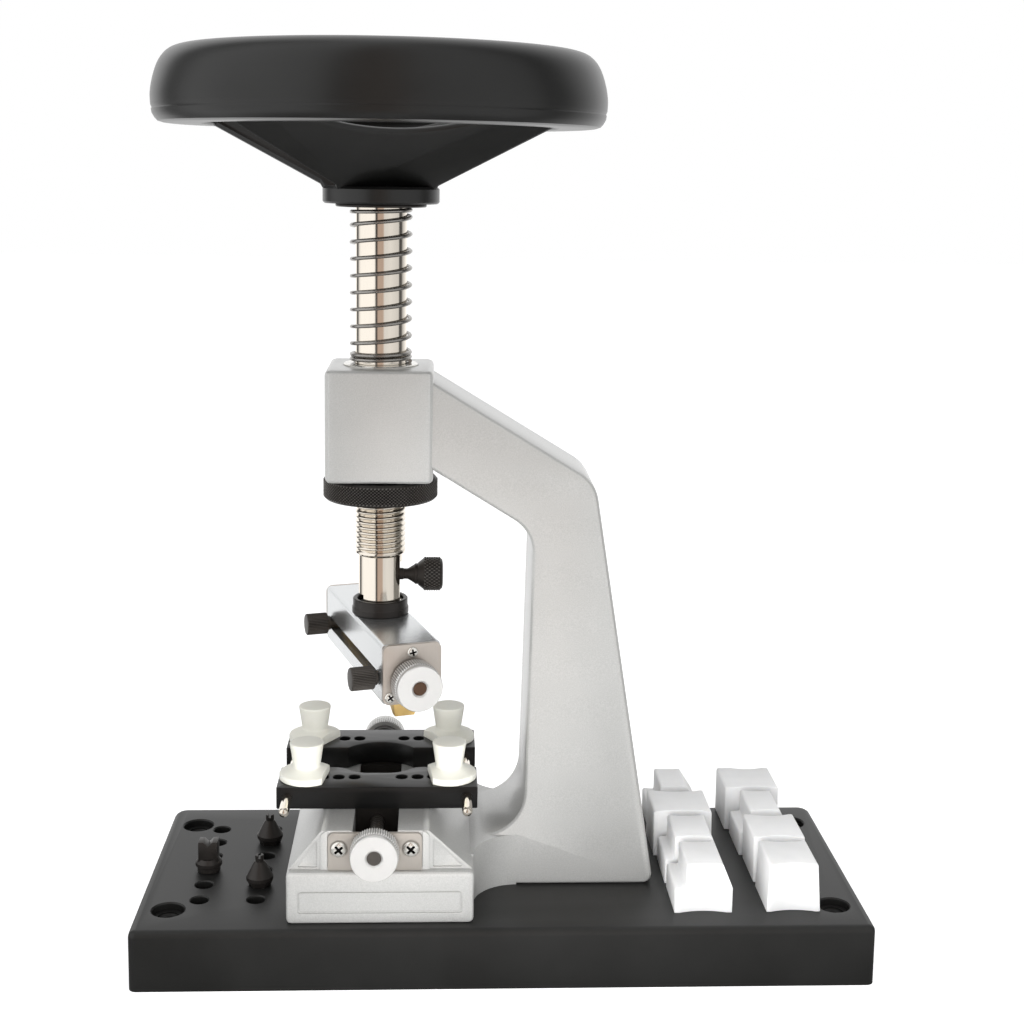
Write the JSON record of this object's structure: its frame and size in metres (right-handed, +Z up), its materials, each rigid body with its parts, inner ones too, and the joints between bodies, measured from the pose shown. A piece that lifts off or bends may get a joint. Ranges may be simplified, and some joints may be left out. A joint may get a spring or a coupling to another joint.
{
  "type": "bench watch case opener",
  "caption": "Bench press for screw watch case backs: handwheel on a sprung spindle, two-jaw turning head, screw vise with pegs, die rack and case blocks on a flat base.",
  "frame": {"origin": "centre of the base's flat underside", "axes": "+Z up along the spindle, +X along the base's long side from the die rack to the case blocks, -Y towards the operator"},
  "size_m": [0.24, 0.149, 0.2975],
  "materials": {
    "base": "satin black moulding",
    "casting": "silver metallic paint, satin",
    "wheel": "satin black moulding",
    "nickel": "nickel plated, bright",
    "steel": "brushed",
    "spring_steel": "drawn wire",
    "alloy": "turned",
    "tool_grey": "satin",
    "black_metal": "black oxide",
    "jaw_black": "black anodised",
    "screw_dark": "browned",
    "brass": "plain",
    "nylon": "white nylon"
  },
  "bodies": {
    "stand": {"base_plate": "base", "frame_casting": "casting", "base_screws": "black_metal", "spindle_bush": "steel", "vise_plate_front": "steel", "vise_plate_rear": "steel", "vise_plate_screws": "steel"},
    "spring_seat": {"spring_washer": "black_metal", "return_spring": "spring_steel"},
    "spindle": {"spindle_shaft": "nickel", "handwheel": "wheel", "wheel_cap": "black_metal", "wheel_bolt": "steel"},
    "stop_ring": {"stop_ring": "black_metal"},
    "thumb_screw": {"thumb_screw": "black_metal"},
    "turning_head": {"tool_shank": "black_metal", "tool_body": "tool_grey", "tool_plate_front": "steel", "tool_plate_rear": "steel", "tool_plate_screws": "steel"},
    "head_screw": {"tool_screw": "screw_dark", "tool_knob": "alloy"},
    "brass_front": {"brass_jaw_front": "brass"},
    "brass_rear": {"brass_jaw_rear": "brass"},
    "lock_front": {"lock_knob_front": "black_metal"},
    "lock_rear": {"lock_knob_rear": "black_metal"},
    "vise_spindle": {"vise_screw": "screw_dark", "vise_knob_front": "alloy", "vise_knob_rear": "alloy", "vise_collar_rear": "black_metal"},
    "jaw_front": {"vise_jaw_front": "jaw_black", "jaw_nut_front": "jaw_black"},
    "jaw_rear": {"vise_jaw_rear": "jaw_black", "jaw_nut_rear": "jaw_black", "guide_rods": "nickel"},
    "peg_front_left": {"peg_front_left": "nylon"},
    "peg_front_right": {"peg_front_right": "nylon"},
    "peg_rear_left": {"peg_rear_left": "nylon"},
    "peg_rear_right": {"peg_rear_right": "nylon"},
    "die_fork": {"die_fork": "black_metal"},
    "die_pin_front": {"die_pin_front": "black_metal"},
    "die_pin_rear": {"die_pin_rear": "black_metal"},
    "block_a1": {"block_a1": "nylon"},
    "block_a2": {"block_a2": "nylon"},
    "block_a3": {"block_a3": "nylon"},
    "block_a4": {"block_a4": "nylon"},
    "block_b1": {"block_b1": "nylon"},
    "block_b2": {"block_b2": "nylon"},
    "block_b3": {"block_b3": "nylon"},
    "block_b4": {"block_b4": "nylon"}
  },
  "joints": [
    {"name": "spindle_press", "type": "slide", "parent": "stand", "child": "spring_seat", "axis": [0, 0, -1], "range_m": [0, 0.0125], "stiffness_N_per_m": 1200, "springref_m": -0.02, "deforming": ["return_spring"]},
    {"name": "wheel_turn", "type": "hinge", "parent": "spring_seat", "child": "spindle", "pos_m": [-0.042, 0.003, 0.25], "axis": [0, 0, 1], "continuous": true},
    {"name": "stop_ring_travel", "type": "slide", "parent": "spindle", "child": "stop_ring", "axis": [0, 0, -1], "range_m": [0, 0.018]},
    {"name": "thumb_screw_turn", "type": "hinge", "parent": "spindle", "child": "thumb_screw", "pos_m": [-0.042, 0.003, 0.1232], "axis": [1, 0, 0], "range_deg": [-720, 0]},
    {"name": "head_pull", "type": "slide", "parent": "spindle", "child": "turning_head", "axis": [0, 0, 1], "range_m": [-0.012, 0]},
    {"name": "head_screw_turn", "type": "hinge", "parent": "turning_head", "child": "head_screw", "pos_m": [-0.042, 0.003, 0.0977], "axis": [0.2924, -0.9563, 0], "range_deg": [-2880.1, 0.1]},
    {"name": "brass_front_slide", "type": "slide", "parent": "turning_head", "child": "brass_front", "axis": [0.2924, -0.9563, 0], "range_m": [-0.012, 0]},
    {"name": "brass_rear_slide", "type": "slide", "parent": "turning_head", "child": "brass_rear", "axis": [-0.2924, 0.9563, 0], "range_m": [-0.012, 0]},
    {"name": "lock_front_turn", "type": "hinge", "parent": "brass_front", "child": "lock_front", "pos_m": [-0.03247, -0.02818, 0.0977], "axis": [-0.9563, -0.2924, 0], "range_deg": [-360, 0]},
    {"name": "lock_rear_turn", "type": "hinge", "parent": "brass_rear", "child": "lock_rear", "pos_m": [-0.05153, 0.03418, 0.0977], "axis": [-0.9563, -0.2924, 0], "range_deg": [-360, 0]},
    {"name": "vise_screw_turn", "type": "hinge", "parent": "stand", "child": "vise_spindle", "pos_m": [-0.042, 0.003, 0.045], "axis": [0, 1, 0], "range_deg": [-1920.1, 2880.1]},
    {"name": "jaw_front_slide", "type": "slide", "parent": "stand", "child": "jaw_front", "axis": [0, -1, 0], "range_m": [-0.008, 0.012]},
    {"name": "jaw_rear_slide", "type": "slide", "parent": "stand", "child": "jaw_rear", "axis": [0, 1, 0], "range_m": [-0.008, 0.012]},
    {"name": "peg_front_left_lift", "type": "slide", "parent": "jaw_front", "child": "peg_front_left", "axis": [0, 0, 1], "range_m": [0, 0.007]},
    {"name": "peg_front_right_lift", "type": "slide", "parent": "jaw_front", "child": "peg_front_right", "axis": [0, 0, 1], "range_m": [0, 0.007]},
    {"name": "peg_rear_left_lift", "type": "slide", "parent": "jaw_rear", "child": "peg_rear_left", "axis": [0, 0, 1], "range_m": [0, 0.007]},
    {"name": "peg_rear_right_lift", "type": "slide", "parent": "jaw_rear", "child": "peg_rear_right", "axis": [0, 0, 1], "range_m": [0, 0.007]},
    {"name": "die_fork_lift", "type": "slide", "parent": "stand", "child": "die_fork", "axis": [0, 0, 1], "range_m": [0, 0.011]},
    {"name": "die_pin_front_lift", "type": "slide", "parent": "stand", "child": "die_pin_front", "axis": [0, 0, 1], "range_m": [0, 0.011]},
    {"name": "die_pin_rear_lift", "type": "slide", "parent": "stand", "child": "die_pin_rear", "axis": [0, 0, 1], "range_m": [0, 0.011]},
    {"name": "block_a1_lift", "type": "slide", "parent": "stand", "child": "block_a1", "axis": [0, 0, 1], "range_m": [0, 0.03]},
    {"name": "block_a2_lift", "type": "slide", "parent": "stand", "child": "block_a2", "axis": [0, 0, 1], "range_m": [0, 0.03]},
    {"name": "block_a3_lift", "type": "slide", "parent": "stand", "child": "block_a3", "axis": [0, 0, 1], "range_m": [0, 0.03]},
    {"name": "block_a4_lift", "type": "slide", "parent": "stand", "child": "block_a4", "axis": [0, 0, 1], "range_m": [0, 0.03]},
    {"name": "block_b1_lift", "type": "slide", "parent": "stand", "child": "block_b1", "axis": [0, 0, 1], "range_m": [0, 0.03]},
    {"name": "block_b2_lift", "type": "slide", "parent": "stand", "child": "block_b2", "axis": [0, 0, 1], "range_m": [0, 0.03]},
    {"name": "block_b3_lift", "type": "slide", "parent": "stand", "child": "block_b3", "axis": [0, 0, 1], "range_m": [0, 0.03]},
    {"name": "block_b4_lift", "type": "slide", "parent": "stand", "child": "block_b4", "axis": [0, 0, 1], "range_m": [0, 0.03]}
  ],
  "couplings": [
    {"joint": "brass_rear_slide", "follows": "brass_front_slide", "ratio": 1},
    {"joint": "head_screw_turn", "follows": "brass_front_slide", "rad_per_m": 4188.8},
    {"joint": "jaw_rear_slide", "follows": "jaw_front_slide", "ratio": 1},
    {"joint": "vise_screw_turn", "follows": "jaw_front_slide", "rad_per_m": 4188.8}
  ]
}
